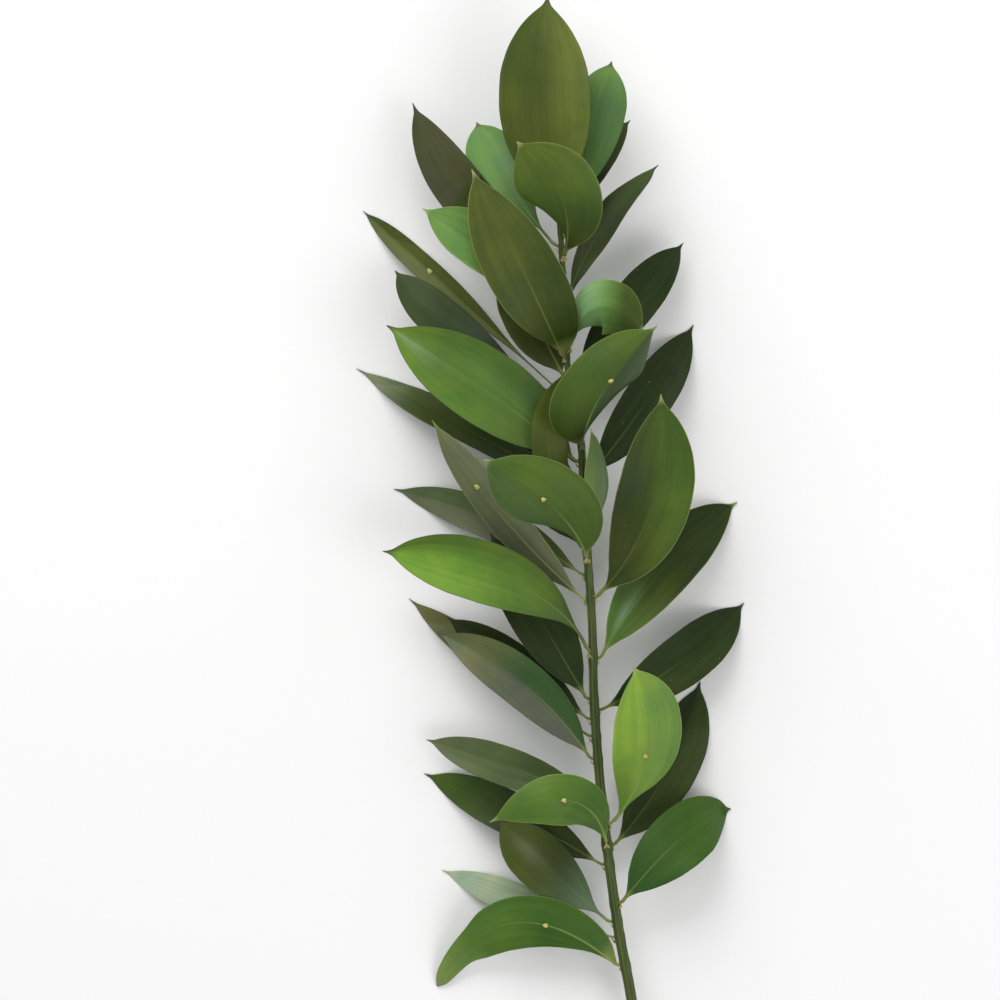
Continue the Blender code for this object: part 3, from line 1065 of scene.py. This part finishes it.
def stem_bark():
    graph = Graph("stem bark")
    bark = graph.read("bark")
    ridge = graph.split(bark)[2]
    streaks = graph.noise(graph.stretch(bark, (2.2, 0.05, 0.0)), 1.0, 4.0, 0.6)
    patches = graph.noise(object_place(graph), 45.0, 3.0)
    dark, light = STEM_GREENS
    green = graph.mix(graph.band(streaks, 0.3, 0.7), screen(dark), screen(light))
    brown = graph.mix(graph.band(patches, 0.52, 0.8, 0.0, 0.6), green, screen(STEM_BROWN))
    # The ridge crests get a painted highlight
    lit = graph.mix(graph.band(ridge, 0.2, 1.4, 0.0, 0.5), brown, screen(STEM_RIDGE_HIGHLIGHT))
    relief = graph.bump(graph.total(((streaks, 0.8), (ridge, 0.2))), 0.15 * MM)
    return graph.finish(lit, 0.55, relief, Specular_IOR_Level=0.25)


def grained(name, **sockets):
    """A finish of one grain and two tones."""
    look = FINISHES[name]
    graph = Graph(name)
    grain = graph.noise(object_place(graph), look.fineness, look.detail)
    amount = graph.band(grain, look.low, look.high)
    colour = graph.mix(amount, screen(look.first), screen(look.second))
    return graph.finish(colour, look.roughness, graph.bump(grain, look.relief), **sockets)


def floor_paper(settings):
    graph = Graph("floor paper")
    grain = graph.noise(object_place(graph), 500.0, 2.0)
    white = opaque(settings.floor_colour)
    shade = tuple(part * 0.985 for part in settings.floor_colour)
    colour = graph.mix(grain, white, opaque(shade))
    return graph.finish(colour, 0.9, graph.bump(grain, 0.05 * MM))


# Stage

def area_light(name, place, size, energy):
    data = bpy.data.lights.new(name, "AREA")
    data.energy = energy
    data.size = size
    item = bpy.data.objects.new(name, data)
    bpy.context.scene.collection.objects.link(item)
    item.location = place
    aim = Vector(LIGHT_AIM) - Vector(place)
    item.rotation_euler = aim.to_track_quat("-Z", "Y").to_euler()


def build_stage(settings):
    bpy.ops.mesh.primitive_plane_add(size=settings.floor_size)
    floor = bpy.context.object
    floor.name = "floor"
    floor.data.materials.append(floor_paper(settings))
    world = bpy.data.worlds.new("studio")
    bpy.context.scene.world = world
    world.use_nodes = True
    background = world.node_tree.nodes["Background"]
    background.inputs["Color"].default_value = (1, 1, 1, 1)
    background.inputs["Strength"].default_value = settings.sky_strength
    area_light("window", WINDOW_PLACE, WINDOW_SIZE, settings.window_power)
    area_light("fill", FILL_PLACE, FILL_SIZE, settings.fill_power)
    bpy.context.scene.view_settings.view_transform = "Standard"


def build_camera(settings):
    """Looks straight down, so that the frame holds what the photograph's does."""
    data = bpy.data.cameras.new("camera")
    data.sensor_width = 36
    data.lens = data.sensor_width * settings.camera_distance / settings.view_width
    item = bpy.data.objects.new("camera", data)
    bpy.context.scene.collection.objects.link(item)
    height = settings.camera_distance + settings.view_plane
    item.location = (settings.view_right, settings.view_along, height)
    bpy.context.scene.camera = item


# Settings

def length(name, text, default, low=0.0):
    words = {"name": name, "description": text}
    return FloatProperty(**words, default=default, min=low, unit="LENGTH", precision=5)


def colour(name, text, default):
    words = {"name": name, "description": text}
    return FloatVectorProperty(**words, default=linear(default), subtype="COLOR", min=0, max=1)


def number(name, text, default):
    return FloatProperty(name=name, description=text, default=default, min=0)


class RuscusLeafSettings(bpy.types.PropertyGroup):
    """Sizes and colours of the leaves."""

    blade_thickness: length("Blade", "Thickness of a blade between its veins", 0.45 * MM)
    rib_thickness: length("Rib", "Thickness at the midrib and the stalk", 0.9 * MM)
    edge_thickness: length("Edge", "Thickness at the margin", 0.3 * MM)
    stalk_twist: number("Stalk twist", "Turn of the stalk about itself at the stem, in degrees", 40.0)
    waves: number("Waves", "How many times a margin waves along a leaf", 1.6)
    wave_height: length("Wave", "How far a margin waves up and down", 0.7 * MM)
    veins: number("Veins", "Fine veins between the midrib and a margin", 13.0)
    roughness: number("Roughness", "Roughness of a leaf's upper face", 0.44)
    rib_colour: colour("Rib", "Colour of the midrib", RIB_TONE)
    stalk_colour: colour("Stalk", "Colour of the stalk", STALK_TONE)
    underside_colour: colour("Underside", "Colour that the underside tends to", UNDERSIDE_TONE)


class RuscusStemSettings(bpy.types.PropertyGroup):
    """Relief of the stem."""

    ridges: IntProperty(name="Ridges", description="Main ridges round the stem", default=7, min=3)
    ridge_depth: number("Ridge depth", "Height of a ridge as a share of the radius", 0.02)
    node_swell: length("Node swell", "How much the stem thickens where a leaf grows", 0.25 * MM)
    node_reach: number("Node reach", "How far a swelling runs along the stem, in millimetres", 2.2)


class RuscusBudSettings(bpy.types.PropertyGroup):
    """Sizes of the buds and the dry scales."""

    bud_length: length("Bud", "Length of a flower bud", 2.6 * MM)
    scale_length: length("Scale", "Length of a dry scale", 4.0 * MM)


class RuscusStageSettings(bpy.types.PropertyGroup):
    """Floor, light and camera."""

    floor_size: length("Floor", "Side of the floor", 6.0)
    floor_colour: colour("Floor", "Colour of the floor", (251, 251, 251))
    sky_strength: number("Sky", "Strength of the light from all round", 0.54)
    window_power: number("Window", "Power of the light beyond the branch's tip", 28.0)
    fill_power: number("Fill", "Power of the light from the right", 10.0)
    camera_distance: length("Distance", "Height of the camera over the branch", 2.0)
    view_width: length("Width", "Width of what the camera sees", 0.45)
    view_plane: length("Plane", "Height over the floor where that width is measured", 0.03)
    view_right: length("Right", "Middle of the view along X", -0.0234, -1.0)
    view_along: length("Along", "Middle of the view along Y", 0.095, -1.0)


# Operators

class RUSCUS_OT_leaves(bpy.types.Operator):
    """Grow a fine leaf on each packed one"""

    bl_idname = "ruscus.leaves"
    bl_label = "Leaves"

    def execute(self, context):
        settings = context.scene.ruscus_leaves
        tones = {name: linear(value) for name, value in TONES.items()}
        materials = leaf_face(settings), leaf_back(settings)
        for number, leaf in enumerate(LEAVES, 1):
            add_blade(Blade(leaf, number, settings), tones, materials)
        return {"FINISHED"}


class RUSCUS_OT_stem(bpy.types.Operator):
    """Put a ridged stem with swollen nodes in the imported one's place"""

    bl_idname = "ruscus.stem"
    bl_label = "Stem"

    def execute(self, context):
        build_stem(context.scene.ruscus_stem)
        return {"FINISHED"}


class RUSCUS_OT_buds(bpy.types.Operator):
    """Set the flower buds on the midribs"""

    bl_idname = "ruscus.buds"
    bl_label = "Buds"

    def execute(self, context):
        build_buds(context.scene.ruscus_buds)
        return {"FINISHED"}


class RUSCUS_OT_scales(bpy.types.Operator):
    """Set a dry scale on the stem below each leaf"""

    bl_idname = "ruscus.scales"
    bl_label = "Scales"

    def execute(self, context):
        build_scales(context.scene.ruscus_buds)
        return {"FINISHED"}


class RUSCUS_OT_stage(bpy.types.Operator):
    """Lay the floor, light the branch and aim the camera"""

    bl_idname = "ruscus.stage"
    bl_label = "Stage"

    def execute(self, context):
        build_stage(context.scene.ruscus_stage)
        build_camera(context.scene.ruscus_stage)
        return {"FINISHED"}


class RUSCUS_PT_panel(bpy.types.Panel):
    """Lists the pieces of the branch in the order in which they are made"""

    bl_idname = "RUSCUS_PT_panel"
    bl_label = "Ruscus branch"
    bl_space_type = "VIEW_3D"
    bl_region_type = "UI"
    bl_category = "Ruscus"

    def draw(self, context):
        for operator in OPERATORS:
            self.layout.operator(operator.bl_idname)


OPERATORS = (RUSCUS_OT_leaves, RUSCUS_OT_stem, RUSCUS_OT_buds, RUSCUS_OT_scales, RUSCUS_OT_stage)
SETTINGS = {
    "ruscus_leaves": RuscusLeafSettings,
    "ruscus_stem": RuscusStemSettings,
    "ruscus_buds": RuscusBudSettings,
    "ruscus_stage": RuscusStageSettings,
}


def register():
    for kind in (*SETTINGS.values(), *OPERATORS, RUSCUS_PT_panel):
        bpy.utils.register_class(kind)
    for name, kind in SETTINGS.items():
        setattr(bpy.types.Scene, name, PointerProperty(type=kind))


def unregister():
    for name in SETTINGS:
        delattr(bpy.types.Scene, name)
    for kind in reversed((*SETTINGS.values(), *OPERATORS, RUSCUS_PT_panel)):
        bpy.utils.unregister_class(kind)


def main():
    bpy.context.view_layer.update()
    register()
    deselect_all()
    bpy.ops.ruscus.leaves()
    bpy.ops.ruscus.stem()
    bpy.ops.ruscus.buds()
    bpy.ops.ruscus.scales()
    bpy.ops.ruscus.stage()
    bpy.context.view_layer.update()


if __name__ == "__main__":
    main()
